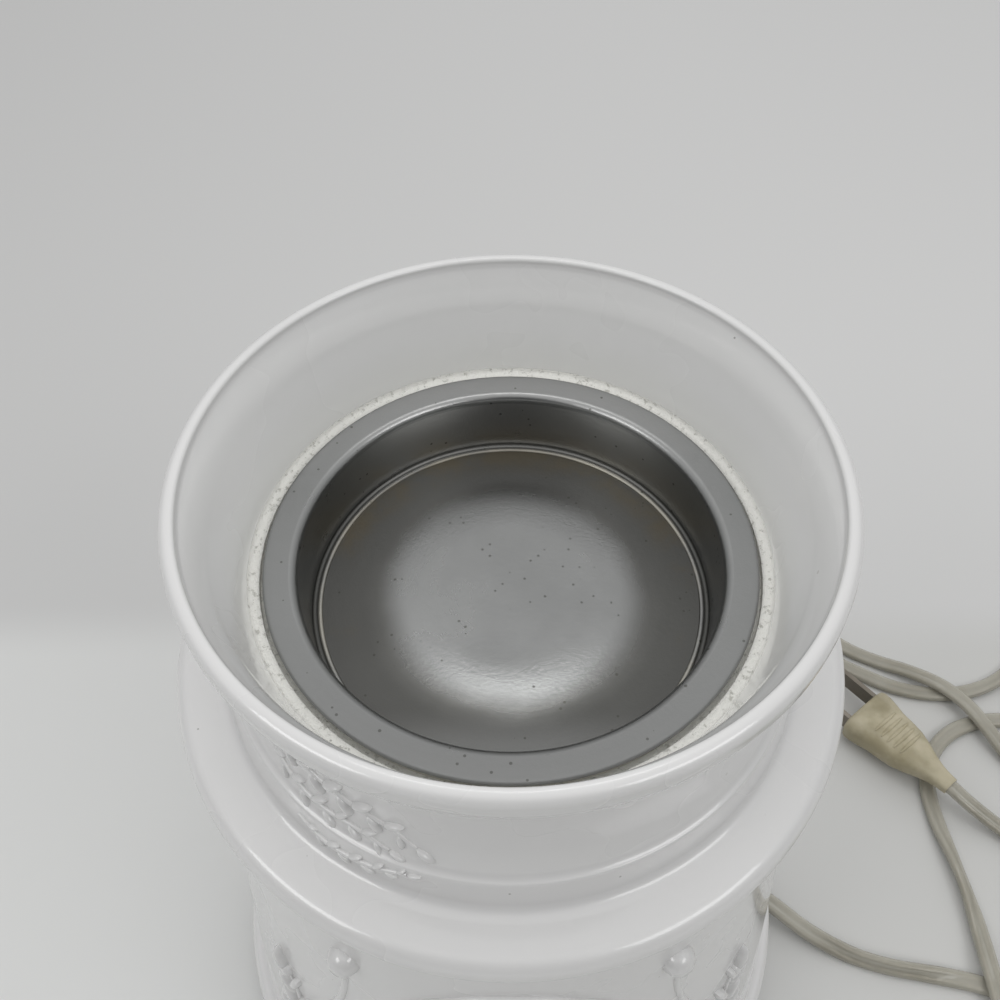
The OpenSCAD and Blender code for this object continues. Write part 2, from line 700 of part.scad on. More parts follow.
module switch_shell(low, high) {
    difference() {
        translate([0, 0, low]) linear_extrude(high - low) switch_outline(0);
        translate([0, 0, -switch_h / 2 + shell_t]) linear_extrude(switch_h - 2 * shell_t)
            intersection() {
                switch_outline(shell_t);
                square([switch_len - 22, switch_w], center = true);
            }
        translate([-wheel_r - 1, -wheel_w / 2 - 0.6, -switch_h / 2 + shell_t])
            cube([2 * wheel_r + 2, wheel_w + 1.2, switch_h]);
        rotate([90, 0, 90]) translate([0, 0, -switch_len]) linear_extrude(2 * switch_len)
            square([cord_w + 2 * slack, cord_t + 2 * slack], center = true);
        translate([0, 0, wheel_z]) rotate([90, 0, 0])
            cylinder(r = axle_r + 0.05, h = wheel_w + 7, center = true, $fn = 32);
        for (x = [-19, 19]) translate([x, -6.4, 0]) {
            translate([0, 0, -switch_h]) cylinder(r = 1.3, h = 2 * switch_h - shell_t - 8, $fn = 32);
            translate([0, 0, -switch_h]) cylinder(r = 2.4, h = switch_h / 2 + 3.7, $fn = 32);
        }
    }
}

module switch_lower() {
    color("#8f8a74") switch_place() switch_shell(-switch_h / 2, 0);
}

module switch_upper() {
    color("#8f8a74") switch_place() switch_shell(0, switch_h / 2);
}

module switch_wheel() {
    color("#e4e1d6") switch_place() translate([0, 0, wheel_z]) rotate([90, 0, 0])
    difference() {
        cylinder(r = wheel_r, h = wheel_w, center = true);
        cylinder(r = axle_r + 0.05, h = wheel_w + 2, center = true, $fn = 32);
        for (i = [0:23]) rotate(i * 15) translate([wheel_r, 0, 0])
            cylinder(r = 0.5, h = wheel_w + 2, center = true, $fn = 16);
    }
}

module switch_axle() {
    color(steel) switch_place() translate([0, 0, wheel_z]) rotate([90, 0, 0])
        cylinder(r = axle_r, h = wheel_w + 6, center = true, $fn = 32);
}

module switch_contacts() {
    color("#cbb777") switch_place()
    for (side = [-1, 1]) translate([side * (wheel_r + 3.4), 0, -switch_h / 2 + shell_t])
        translate([-0.4, -5, 0]) cube([0.8, 10, 6]);
}

module switch_screws() {
    color(steel) switch_place() for (x = [-19, 19]) translate([x, -6.4, -switch_h / 2 + 2]) {
        rotate([180, 0, 0]) translate([0, 0, -1.6]) slotted_head(2.2, 1.6, 0.6);
        translate([0, 0, 1.6]) cylinder(r = 1.2, h = 13, $fn = 32);
    }
}

ceramic_body();
wax_dish();
heating_pan();
pan_gasket();
tie_rod();
heater_element();
insulation_disc();
heater_clamp();
clamp_nut();
heat_shield();
shield_nuts();
thermal_fuse();
fuse_clip();
heater_leads();
terminal_block();
terminal_screws();
supply_leads();
cord_clamp();
clamp_screws();
cord_grommet();
base_plate();
base_washer();
base_nut();
rubber_feet();
cord_from_body();
cord_middle();
cord_coil();
coil_tie();
cord_to_plug();
plug_body();
plug_blades();
switch_lower();
switch_upper();
switch_wheel();
switch_axle();
switch_contacts();
switch_screws();
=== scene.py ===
import json
import math

import bpy
import numpy as np
from mathutils import Matrix, Vector


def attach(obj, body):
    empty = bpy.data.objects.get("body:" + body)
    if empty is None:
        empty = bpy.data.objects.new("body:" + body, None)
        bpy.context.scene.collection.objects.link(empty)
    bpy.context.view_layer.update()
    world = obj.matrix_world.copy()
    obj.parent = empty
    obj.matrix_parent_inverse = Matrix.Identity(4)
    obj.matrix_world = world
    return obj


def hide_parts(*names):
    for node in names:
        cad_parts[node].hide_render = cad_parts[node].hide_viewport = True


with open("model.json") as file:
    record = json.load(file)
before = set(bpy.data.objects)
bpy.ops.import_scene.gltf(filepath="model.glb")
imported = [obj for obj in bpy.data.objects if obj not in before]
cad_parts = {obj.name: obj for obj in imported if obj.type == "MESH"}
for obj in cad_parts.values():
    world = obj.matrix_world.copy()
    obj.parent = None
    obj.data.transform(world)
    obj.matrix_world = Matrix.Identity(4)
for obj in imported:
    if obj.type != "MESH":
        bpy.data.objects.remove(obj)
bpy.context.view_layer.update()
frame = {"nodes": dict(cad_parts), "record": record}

MM = 0.001
nodes = frame["nodes"]

# The camera looks down into the mouth from the front, as the photograph does.
CAMERA_SPOT, LOOK_DOWN = (0, -0.0972, 0.3136), 51.3
camera_data = bpy.data.cameras.new("camera")
camera_data.sensor_fit = "HORIZONTAL"
camera_data.sensor_width = 36
camera_data.lens = 36
camera_data.shift_x = -0.011
camera_data.clip_start = 0.01
camera = bpy.data.objects.new("camera", camera_data)
camera.location = CAMERA_SPOT
camera.rotation_euler = (math.radians(90 - LOOK_DOWN), 0, 0)
bpy.context.scene.collection.objects.link(camera)
bpy.context.scene.camera = camera


def piece(name, points, faces, body, sharp=40):
    """A smooth mesh piece on a body: its points in millimetres, its edges crisp above an angle in degrees."""
    mesh = bpy.data.meshes.new(name)
    mesh.from_pydata([tuple(MM * x for x in p) for p in points], [], [tuple(f) for f in faces])
    mesh.validate()
    made = bpy.data.objects.new(name, mesh)
    bpy.context.scene.collection.objects.link(made)
    mesh.shade_smooth()
    mesh.set_sharp_from_angle(angle=math.radians(sharp))
    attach(made, body)
    return made


def joined(parts):
    """Several (points, faces) shapes as one."""
    points, faces = [], []
    for more, sides in parts:
        start = len(points)
        points += [tuple(p) for p in more]
        faces += [[start + i for i in f] for f in sides]
    return points, faces


def skin_of(rings, n):
    """Faces of a closed skin over that many rings of n points each, with a face on either end."""
    faces = []
    for i in range(rings - 1):
        for k in range(n):
            a, b = i * n + k, i * n + (k + 1) % n
            faces.append((a, b, b + n, a + n))
    last = (rings - 1) * n
    return faces + [tuple(reversed(range(n))), tuple(range(last, last + n))]


# Routes of the free cord in millimetres, as in the part's source.
# LAY is the height of the cord's middle where it lies flat on the table.
LAY = 1.4
FROM_BODY = [
    (46, 18, 6.4), (56, 10.7, 6.4), (67, 2.7, 6.4), (78, -5.3, 6.1), (88, -12.3, 3.4),
    (99, -18, LAY), (110, -21.5, LAY), (122, -23.5, LAY), (133, -25.5, LAY),
    (143, -28.4, LAY), (151.5, -31.6, 3.6), (158, -34.2, 7.6), (164.7, -36.8, 9),
]
THROUGH_SWITCH = [(177, -41.5, 9), (189, -46.1, 9), (201, -50.7, 9)]
MIDDLE = [
    (213.3, -55.4, 9), (220, -58, 7.6), (231, -65.2, 3.4), (237, -77, LAY),
    (235.5, -91.5, LAY), (226, -102, LAY), (212, -105.5, LAY), (198.5, -102, LAY),
    (186, -94.5, LAY), (173.5, -85, LAY), (162, -75, LAY), (152, -63.5, LAY),
    (144, -51, LAY), (139.5, -38.5, 2.6), (138.3, -26, 4.4), (138.8, -13.5, 2.6),
    (138.5, -1, LAY), (137, 11, LAY), (135.4, 22, LAY), (135.4, 33, LAY),
    (138.8, 43, LAY), (145.5, 50.5, LAY), (154, 55, LAY), (163, 56.8, LAY),
    (172, 56, LAY), (180, 52.2, LAY),
]
TO_PLUG = [
    (192, 88.5, 4.2), (183.5, 82, 2.4), (175, 75.6, LAY), (166, 70.2, LAY),
    (155.5, 67.2, LAY), (144, 67, LAY), (133, 69.5, LAY), (123, 74.5, LAY),
    (113, 80, LAY), (101, 85, LAY), (89, 88.8, LAY), (77.5, 92.5, LAY),
    (66.8, 99.8, LAY), (61.1, 112, LAY), (62.7, 125.5, LAY), (72, 135.8, LAY),
    (85.5, 139, LAY), (98, 134.2, LAY), (105.5, 123, LAY), (107, 110.5, LAY),
    (109, 99.5, LAY), (113.5, 90.5, LAY), (120.5, 84.3, LAY), (129.5, 79.6, LAY),
    (139, 75, 2.8), (148, 68.7, 4.6), (155, 61, 4.9), (160, 51.5, 4.4), (165.5, 42, 2.3),
    (173, 35, LAY), (182, 30, LAY), (192.5, 26, LAY), (203, 19.5, LAY),
    (209.5, 9, LAY), (209, -3.5, LAY), (201.5, -13.5, LAY), (189.5, -17.8, LAY),
    (177.5, -15.3, LAY), (169, -7, LAY), (165.2, 3.5, LAY), (161.8, 11.5, LAY),
    (156, 17.6, 2.6), (150, 21.8, 4.9), (144.4, 25.7, 7.4),
]
CORD_W, CORD_T = 5.2, 2.7
COIL_MID, COIL_R, COIL_IN, COIL_OUT, COIL_LOOPS = (215, 64), 33, -140, 115, 3
COIL_PITCH, COIL_RISE = CORD_W + 0.6, CORD_T + 0.7
COIL_TURN = COIL_OUT - COIL_IN + 360 * COIL_LOOPS


def coil_route():
    """The coil: its turns wind inwards at the bottom, climb half-way, and wind outwards on top."""
    points = []
    steps, half = round(COIL_TURN / 15), COIL_TURN / 2
    for i in range(steps + 1):
        a = COIL_TURN * i / steps
        r = COIL_R - COIL_PITCH * (half - abs(a - half)) / 360
        climb = min(1, max(0, (a - half + 90) / 180))
        turn = math.radians(COIL_IN + a)
        points.append((COIL_MID[0] + r * math.cos(turn), COIL_MID[1] + r * math.sin(turn),
                       LAY + COIL_RISE * climb))
    return points


# Where the plug lies: its own frame has the blades along +X.
PLUG_REAR, PLUG_TURN, PLUG_TILT, PLUG_LIFT = (134.2, 36.8), 128, 5, 3.1
PLUG_H, TAIL = 11, 3.5
PLUG_PLACE = (
    Matrix.Translation((PLUG_REAR[0], PLUG_REAR[1], PLUG_LIFT))
    @ Matrix.Rotation(math.radians(PLUG_TURN), 4, "Z")
    @ Matrix.Rotation(math.radians(PLUG_TILT), 4, "Y")
)


def in_plug(x, y, z):
    return tuple(PLUG_PLACE @ Vector((x, y, z)))


def curved(route, parts=4):
    """A smooth curve through every point of a route."""
    p = np.array(route, float)
    p = np.vstack([2 * p[0] - p[1], p, 2 * p[-1] - p[-2]])
    out = []
    for i in range(1, len(p) - 2):
        for k in range(parts):
            t = k / parts
            out.append(0.5 * (2 * p[i] + (p[i + 1] - p[i - 1]) * t
                              + (2 * p[i - 1] - 5 * p[i] + 4 * p[i + 1] - p[i + 2]) * t * t
                              + (3 * p[i] - p[i - 1] - 3 * p[i + 1] + p[i + 2]) * t ** 3))
    out.append(p[-2])
    return np.array(out)


def swept(line, outline, offset=0.0, roll=0.0):
    """An outline of (across, up) points swept along a line.

    Its width is level, or rolled by an angle at each point.
    """
    run = np.gradient(line, axis=0)
    run /= np.linalg.norm(run, axis=1)[:, None]
    level = np.stack([-run[:, 1], run[:, 0], np.zeros(len(run))], axis=1)
    level /= np.linalg.norm(level, axis=1)[:, None]
    over = np.cross(run, level)
    turn = np.broadcast_to(roll, len(line))[:, None]
    side = level * np.cos(turn) + over * np.sin(turn)
    up = over * np.cos(turn) - level * np.sin(turn)
    points = [c + s * (a + offset) + u * b for c, s, u in zip(line, side, up) for a, b in outline]
    return points, skin_of(len(line), len(outline))


def twin_outline(n=18):
    """Section of the flat cord: two round cores side by side with a shallow groove between."""
    r, mid = CORD_T / 2, (CORD_W - CORD_T) / 2
    out = []
    for k in range(n):
        a = 2 * math.pi * (k + 0.5) / n
        x = CORD_W / 2 * math.cos(a)
        edge = max(0.0, abs(x) - mid) / r
        y = r * math.sqrt(max(0.0, 1 - edge * edge))
        y *= 1 - 0.22 * math.exp(-(x / 0.55) ** 2)
        out.append((x, math.copysign(max(y, 0.12), math.sin(a))))
    return out


def round_outline(r, n=8):
    return [(r * math.cos(2 * math.pi * k / n), r * math.sin(2 * math.pi * k / n)) for k in range(n)]


# The last two points lead the cord into the plug's tail.
route = curved(FROM_BODY + THROUGH_SWITCH + MIDDLE + coil_route() + TO_PLUG
               + [in_plug(-TAIL - CORD_W, 0, PLUG_H / 2), in_plug(3, 0, PLUG_H / 2)])


MOST_LEAN = math.radians(50)
FLAT_ROOM = 9     # the cord lies flat where another run is this near
NEAR_ALONG = 30   # what is this near along the cord isn't another run
EASE = 14         # the lean is evened out over this length each way


def rolled_lay(line):
    """How far the flat cord leans on its edge at each point. It lies flat where it crosses something."""
    along = np.concatenate([[0], np.cumsum(np.linalg.norm(np.diff(line, axis=0), axis=1))])
    plan = np.linalg.norm(line[:, None, :2] - line[None, :, :2], axis=2)
    plan[np.abs(along[:, None] - along[None, :]) < NEAR_ALONG] = math.inf
    room = plan.min(axis=1)
    room[line[:, 2] > LAY + 0.4] = 0
    lean = np.clip((room - FLAT_ROOM) / FLAT_ROOM, 0, 1) * MOST_LEAN
    steps = np.arange(along[0], along[-1], 1.0)
    window = np.hanning(2 * EASE + 1)
    even = np.pad(np.interp(steps, along, lean), EASE, mode="edge")
    return np.interp(along, steps, np.convolve(even, window / window.sum(), mode="valid"))


CORE_R, CORE_OFF = 0.78, 1.25
lean = rolled_lay(route)
route[:, 2] += (CORD_W - CORD_T) / 2 * np.sin(lean)
cord_sheath = piece("cord_sheath", *swept(route, twin_outline(), roll=lean), "warmer")
cord_cores = piece("cord_cores", *joined([swept(route, round_outline(CORE_R), side * CORE_OFF, lean)
                                          for side in (1, -1)]), "warmer")
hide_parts("cord_from_body", "cord_middle", "cord_coil", "cord_to_plug")


# The ceramic body: the same section as the part's, with more points to the curves.
BASE_Z, RIM_Z = 3.0, 200.0
RIM_R, LIP, WAIST_R, BEAD_R, COLLAR_R = 52, 2.5, 46, 49.4, 60.5
SHOULDER_R, SKIRT_R, BAND_R, WALL = 56.2, 71.8, 75.4, 4.4
WAIST_Z, BEAD_Z, COLLAR_Z, COLLAR_T, BAND_H = 180.0, 164.0, 157.0, 4.8, 13
LEDGE_R, LEDGE_Z, LEDGE_HOLE, LEDGE_T, SEAT_R, SEAT_DEPTH = 42.6, 176.7, 38.4, 5, 41.4, 1.4
SEAT_Z = LEDGE_Z + SEAT_DEPTH
COLLAR_LOW = COLLAR_Z - COLLAR_T
SHOULDER_Z, SKIRT_Z = 144.0, BASE_Z + BAND_H
NECK_FOOT = BEAD_R + 2.6


def arc(cx, cz, r, start, end, n=8):
    """Points of a round corner, from one angle to another in degrees."""
    return [(cx + r * math.cos(math.radians(start + (end - start) * i / n)),
             cz + r * math.sin(math.radians(start + (end - start) * i / n))) for i in range(n + 1)]


def bow(a, b, c, n=10):
    """Points of a smooth bend from a to c, drawn towards b."""
    out = []
    for i in range(n + 1):
        t = i / n
        out.append(tuple((1 - t) ** 2 * p + 2 * t * (1 - t) * q + t * t * s for p, q, s in zip(a, b, c)))
    return out


def run_up(a, b, n):
    """Points between a and b, without the two."""
    return [(a[0] + (b[0] - a[0]) * i / n, a[1] + (b[1] - a[1]) * i / n) for i in range(1, n)]


OUTSIDE = (
    arc(BAND_R - 1.5, BASE_Z + 1.5, 1.5, -90, 0, 6)
    + arc(BAND_R - 3.2, BASE_Z + BAND_H - 4.2, 3.2, 0, 75, 9)
    + [(SKIRT_R, SKIRT_Z)]
    + run_up((SKIRT_R, SKIRT_Z), (SHOULDER_R + 0.7, SHOULDER_Z - 5), 28)
    + bow((SHOULDER_R + 0.7, SHOULDER_Z - 5), (SHOULDER_R, SHOULDER_Z), (SHOULDER_R - 1.6, COLLAR_LOW - 1.2))
    + [(COLLAR_R - 1.8, COLLAR_LOW)]
    + arc(COLLAR_R - 1.5, COLLAR_LOW + 1.5, 1.5, -75, 0, 8)
    + arc(COLLAR_R - 3.2, COLLAR_Z - 3.1, 3.2, 4, 84, 12)
    + bow((NECK_FOOT + 1.5, COLLAR_Z + 0.2), (NECK_FOOT - 0.8, COLLAR_Z + 0.4),
          (NECK_FOOT - 1.1, COLLAR_Z + 2))
    + arc(BEAD_R - 0.2, BEAD_Z - 0.7, 0.7, 10, 80, 6)
    + bow((BEAD_R - 0.9, BEAD_Z + 0.6), (WAIST_R, WAIST_Z - 10), (WAIST_R, WAIST_Z), 16)
    + bow((WAIST_R + 0.1, WAIST_Z + 3), (WAIST_R + 1.5, RIM_Z - 10), (RIM_R - 0.6, RIM_Z - 6.4), 14)[:-3]
    + bow((RIM_R - 1.9, RIM_Z - 7.9), (RIM_R - 0.5, RIM_Z - 6.5), (RIM_R - 0.15, RIM_Z - 4.0), 10)
    + arc(RIM_R - LIP + 0.8, RIM_Z - LIP - 0.8, LIP - 0.8, -18, 0, 3)
    + arc(RIM_R - LIP + 0.8, RIM_Z - LIP + 0.8, LIP - 0.8, 0, 88, 14)
    + arc(RIM_R - LIP + 0.7, RIM_Z - 0.7, 0.7, 90, 180, 8)
)
INSIDE = (
    bow((RIM_R - LIP - 0.1, RIM_Z - 1.4), (RIM_R - LIP - 1.6, RIM_Z - 4), (RIM_R - LIP - 2.8, RIM_Z - 8), 10)
    + bow((RIM_R - LIP - 2.9, RIM_Z - 8.4), (LEDGE_R + 1.4, LEDGE_Z + 6), (LEDGE_R + 0.6, SEAT_Z + 0.9), 16)
    + bow((LEDGE_R + 0.5, SEAT_Z + 0.5), (LEDGE_R + 0.3, SEAT_Z + 0.1), (LEDGE_R - 0.2, SEAT_Z + 0.05), 3)
    + [(SEAT_R + 0.25, SEAT_Z), (SEAT_R + 0.05, SEAT_Z - 0.08), (SEAT_R, SEAT_Z - 0.25), (SEAT_R, LEDGE_Z)]
    + [(LEDGE_HOLE, LEDGE_Z), (LEDGE_HOLE, LEDGE_Z - LEDGE_T), (WAIST_R - WALL, LEDGE_Z - LEDGE_T - 2.5)]
    + bow((WAIST_R - WALL + 0.6, BEAD_Z + 4), (BEAD_R - WALL, BEAD_Z), (NECK_FOOT - WALL, COLLAR_Z))
    + [(SHOULDER_R - WALL - 0.6, COLLAR_LOW - 3), (SHOULDER_R - WALL + 0.4, SHOULDER_Z - 5),
       (SKIRT_R - WALL, SKIRT_Z), (SKIRT_R - WALL + 0.6, BASE_Z)]
)


def turned(profile, sides=256, closed=True):
    """A profile of (radius, height) turned round the body's axis; a radius of 0 becomes one pole point."""
    points, faces, rings = [], [], []
    turns = [2 * math.pi * k / sides for k in range(sides)]
    for r, z in profile:
        rings.append(len(points))
        if r < 1e-6:
            points.append((0, 0, z))
        else:
            points += [(r * math.cos(a), r * math.sin(a), z) for a in turns]
    pairs = list(zip(range(len(profile)), range(1, len(profile))))
    if closed:
        pairs.append((len(profile) - 1, 0))
    for i, j in pairs:
        flat_i, flat_j = profile[i][0] < 1e-6, profile[j][0] < 1e-6
        for k in range(sides):
            n = (k + 1) % sides
            if flat_i and flat_j:
                continue
            if flat_i:
                faces.append((rings[i], rings[j] + n, rings[j] + k))
            elif flat_j:
                faces.append((rings[i] + k, rings[i] + n, rings[j]))
            else:
                faces.append((rings[i] + k, rings[i] + n, rings[j] + n, rings[j] + k))
    return points, faces


def cut_with(target, cutter):
    """Cuts one piece with another and leaves plain mesh."""
    hole = target.modifiers.new("cut", "BOOLEAN")
    hole.object = cutter
    hole.solver = "EXACT"
    bpy.context.view_layer.update()
    seen = target.evaluated_get(bpy.context.evaluated_depsgraph_get())
    mesh = bpy.data.meshes.new_from_object(seen)
    target.modifiers.remove(hole)
    target.data = mesh
    bpy.data.objects.remove(cutter)
    mesh.shade_smooth()
    mesh.set_sharp_from_angle(angle=math.radians(40))


body = piece("churn_body", *turned(OUTSIDE + INSIDE), "warmer")
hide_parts("ceramic_body")

# Notch in the foot where the cord leaves, along the cord's way out.
EXIT_TURN, EXIT_AT = math.radians(-36), (75.3, -3.3)
NOTCH_IN, NOTCH_OUT, NOTCH_HALF, NOTCH_TOP = -14, 10, 5.5, 11.2
notch_place = Matrix.Translation((*EXIT_AT, 0)) @ Matrix.Rotation(EXIT_TURN, 4, "Z")
notch_points = [notch_place @ Vector((x, y, z)) for z in (-4, NOTCH_TOP)
                for x, y in ((NOTCH_IN, -NOTCH_HALF), (NOTCH_OUT, -NOTCH_HALF),
                             (NOTCH_OUT, NOTCH_HALF), (NOTCH_IN, NOTCH_HALF))]
notch_faces = [(3, 2, 1, 0), (4, 5, 6, 7), (0, 1, 5, 4), (1, 2, 6, 5), (2, 3, 7, 6), (3, 0, 4, 7)]
cut_with(body, piece("notch", notch_points, notch_faces, "warmer"))


# The dish, drawn from sheet: rolled flange, steep wall, a fine ring round a gently crowned floor.
DISH_R, DISH_WALL, DISH_DEPTH, DISH_T, FLANGE_Z = 40.8, 35.2, 12.8, 0.9, 178.3
FOOT_R = DISH_WALL - DISH_DEPTH * 0.05
FLOOR_TOP = DISH_T - DISH_DEPTH
CROWN, CROWN_IN, CROWN_OUT = 0.72, 14, 27
RING_R, RING_ROUND, RING_SUNK = 33.3, 0.5, 0.15


def crown_at(r):
    """Height of the crowned floor: level in the middle, eased down to the edge of the crown."""
    down = max(0, (r - CROWN_IN) / (CROWN_OUT - CROWN_IN))
    return FLOOR_TOP + CROWN * 0.5 * (1 + math.cos(math.pi * down))


dish_top = (
    [(0, FLOOR_TOP + CROWN), (6, FLOOR_TOP + CROWN * 0.995)]
    + [(r, crown_at(r)) for r in np.arange(CROWN_IN - 1, CROWN_OUT + 0.01, 0.5)]
    + [(29, FLOOR_TOP), (32.6, FLOOR_TOP)]
    + arc(RING_R, FLOOR_TOP - RING_SUNK, RING_ROUND, 160, 20, 8)
    + arc(FOOT_R - 0.6, FLOOR_TOP + 0.5, 0.6, -75, 0, 6)
    + arc(DISH_WALL + 1.5, DISH_T - 1.5, 1.5, 180, 90, 12)
    + [(38, DISH_T + 0.06), (DISH_R - 0.8, DISH_T + 0.2)]
    + arc(DISH_R - DISH_T / 2, DISH_T / 2 + 0.2, DISH_T / 2, 85, -90, 10)
)
dish_under = (
    arc(DISH_WALL + 1.5, DISH_T - 1.5, 0.6, 90, 180, 6)
    + arc(FOOT_R - 1.4, FLOOR_TOP + 1.4, 2.3, 0, -90, 8)
    + [(20, FLOOR_TOP - DISH_T), (0, FLOOR_TOP - DISH_T)]
)
dish = piece("wax_cup", *turned([(r, z + FLANGE_Z) for r, z in dish_top + dish_under], closed=False), "dish")
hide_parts("wax_dish")


# The plug: a soft clear moulding that narrows to the cord. Its place along, half width and half height.
PLUG_SHAPE = [(-9, 3.0, 1.75), (-6, 3.2, 2.0), (-3.5, 3.6, 2.4), (0, 4.6, 3.3), (4, 6.3, 4.2),
              (8, 7.7, 4.8), (12, 8.3, 5.0), (16, 8.7, 5.05), (19.5, 9.6, 5.3), (22.5, 10.2, 5.45),
              (24.6, 10.3, 5.4), (25.6, 9.9, 5.1), (26, 9.2, 4.6)]


def plug_skin(n=32):
    """Rounded-oblong rings along the plug, closed at both ends."""

    def fuller(x):
        return math.copysign(abs(x) ** 0.6, x)

    points = []
    for x, wide, high in PLUG_SHAPE:
        for k in range(n):
            a = 2 * math.pi * k / n
            points.append(in_plug(x, wide * fuller(math.cos(a)), PLUG_H / 2 + high * fuller(math.sin(a))))
    return points, skin_of(len(PLUG_SHAPE), n)


plug_moulding = piece("plug_moulding", *plug_skin(), "warmer", sharp=60)
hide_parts("plug_body")


# Shader maths: a socket in a wrapper that takes the usual operators.
class Level:
    """One number at each point of a surface."""

    def __init__(self, finish, socket):
        self.finish, self.socket = finish, socket

    def _with(self, operation, *values):
        return self.finish.node("ShaderNodeMath", {"operation": operation}, dict(enumerate(values))).out()

    def __add__(self, other):
        return self._with("ADD", self, other)

    def __sub__(self, other):
        return self._with("SUBTRACT", self, other)

    def __rsub__(self, other):
        return self._with("SUBTRACT", other, self)

    def __mul__(self, other):
        return self._with("MULTIPLY", self, other)

    def __gt__(self, other):
        return self._with("GREATER_THAN", self, other)

    def __lt__(self, other):
        return self._with("LESS_THAN", self, other)

    __radd__, __rmul__ = __add__, __mul__

    def root(self):
        return self._with("SQRT", self)

    def spread(self, low, high, to_low=0.0, to_high=1.0):
        """The value eased from low..high to to_low..to_high."""
        values = {"Value": self, "From Min": low, "From Max": high, "To Min": to_low, "To Max": to_high}
        eased = {"interpolation_type": "SMOOTHSTEP"}
        return self.finish.node("ShaderNodeMapRange", eased, values).out("Result")


class Made:
    """A node, with its outputs at hand."""

    def __init__(self, finish, made):
        self.finish, self.made = finish, made

    def out(self, name=0):
        return Level(self.finish, self.made.outputs[name])


class Nodes:
    """The nodes of one material or world."""

    def __init__(self, tree):
        self.tree = tree

    def node(self, kind, settings, values):
        """A node of that type: its settings first, then the values or links of its sockets."""
        made = self.tree.nodes.new(kind)
        for key, value in settings.items():
            setattr(made, key, value)
        for key, value in values.items():
            if isinstance(value, Level):
                self.tree.links.new(value.socket, made.inputs[key])
            else:
                made.inputs[key].default_value = value
        return Made(self, made)

    def parts(self, point=None):
        split = self.node("ShaderNodeSeparateXYZ", {}, {0: point or self.place})
        return split.out("X"), split.out("Y"), split.out("Z")

    def scaled(self, size):
        return self.node("ShaderNodeMapping", {}, {"Vector": self.place, "Scale": size}).out()

    def noise(self, scale, detail=2.0, rough=0.5, at=None):
        values = {"Vector": at or self.place, "Scale": scale, "Detail": detail, "Roughness": rough}
        return self.node("ShaderNodeTexNoise", {}, values).out("Fac")

    def cells(self, scale, output="Distance"):
        return self.node("ShaderNodeTexVoronoi", {}, {"Vector": self.place, "Scale": scale}).out(output)

    def dots(self, scale, size, share):
        """Scattered dots: a share of the cells has one, of that size in cells."""
        return (self.cells(scale) < size) * (self.cells(scale, "Color") > 1 - share)

    def mixed(self, amount, a, b):
        """Colour a where the amount is 0, colour b where it is 1."""
        made = self.node("ShaderNodeMix", {"data_type": "RGBA"}, {"Factor": amount})
        for index, colour in ((6, a), (7, b)):
            if isinstance(colour, Level):
                self.tree.links.new(colour.socket, made.made.inputs[index])
            else:
                made.made.inputs[index].default_value = (*colour, 1)
        return Level(self, made.made.outputs[2])


class Finish(Nodes):
    """A material of one named finish, with a Principled shader and Object coordinates."""

    def __init__(self, name, **fixed):
        self.material = bpy.data.materials.new(name)
        self.material.use_nodes = True
        super().__init__(self.material.node_tree)
        self.shader = self.tree.nodes["Principled BSDF"]
        for socket, value in fixed.items():
            self.shader.inputs[socket.replace("_", " ")].default_value = value
        self.place = self.node("ShaderNodeTexCoord", {}, {}).out("Object")

    def bump(self, height, depth, under=None):
        """Relief that deep in metres, over other relief if there is any."""
        values = {"Height": height, "Distance": depth, "Strength": 1.0}
        if under:
            values["Normal"] = under
        return self.node("ShaderNodeBump", {}, values).out("Normal")

    def give(self, **links):
        """Links what varies to the shader, and returns the material."""
        for socket, level in links.items():
            self.tree.links.new(level.socket, self.shader.inputs[socket.replace("_", " ")])
        return self.material


def radius_of(finish):
    """Distance from the body's axis, and height."""
    x, y, z = finish.parts()
    return (x * x + y * y).root(), z


def glaze_finish():
    """White glaze, paler inside the mouth as painted light, with the bare cream ledge, dust specks and a faint
    pooling of the glaze.
    """
    f = Finish("white_glaze", Coat_Roughness=0.06)
    r, z = radius_of(f)
    cloud = f.noise(22, 3)
    outside = f.mixed(cloud.spread(0.35, 0.7), (0.735, 0.732, 0.727), (0.765, 0.762, 0.757))
    above = z > MM * (LEDGE_Z - 1.2)
    # Painted light: the glaze is paler inside the mouth and on the inner lip.
    mouth = above * (r + (MM * RIM_Z - z) * 0.3).spread(0.0502, 0.0492)
    white = f.mixed(mouth, outside, (0.90, 0.90, 0.89))
    inside = above * r.spread(0.0456, 0.0450)
    grain = f.noise(900, 4, 0.7)
    edge = f.noise(300, 3, 0.65)
    bare = (inside * z.spread(0.1796, 0.1784) * 1.6 + edge * 0.8 - 0.4).spread(0.45, 0.75)
    pooled = inside * z.spread(0.1900, 0.1790)
    cream = f.mixed(grain.spread(0.34, 0.46), (0.58, 0.575, 0.53), (0.91, 0.905, 0.86))
    colour = f.mixed(pooled * 0.35, white, (0.82, 0.825, 0.77))
    colour = f.mixed(bare, colour, cream)
    colour = f.mixed(f.dots(420, 0.085, 0.12) * 0.6, colour, (0.22, 0.21, 0.19))
    colour = f.mixed(f.dots(150, 0.045, 0.15) * 0.35, colour, (0.42, 0.40, 0.35))
    rough = cloud.spread(0.3, 0.7, 0.22, 0.32) + bare * 0.45
    skin = f.bump(f.noise(45, 2), 0.0002)
    skin = f.bump(grain * bare, 0.0005, skin)
    return f.give(Base_Color=colour, Roughness=rough, Normal=skin, Coat_Weight=(1 - bare) * 0.85)


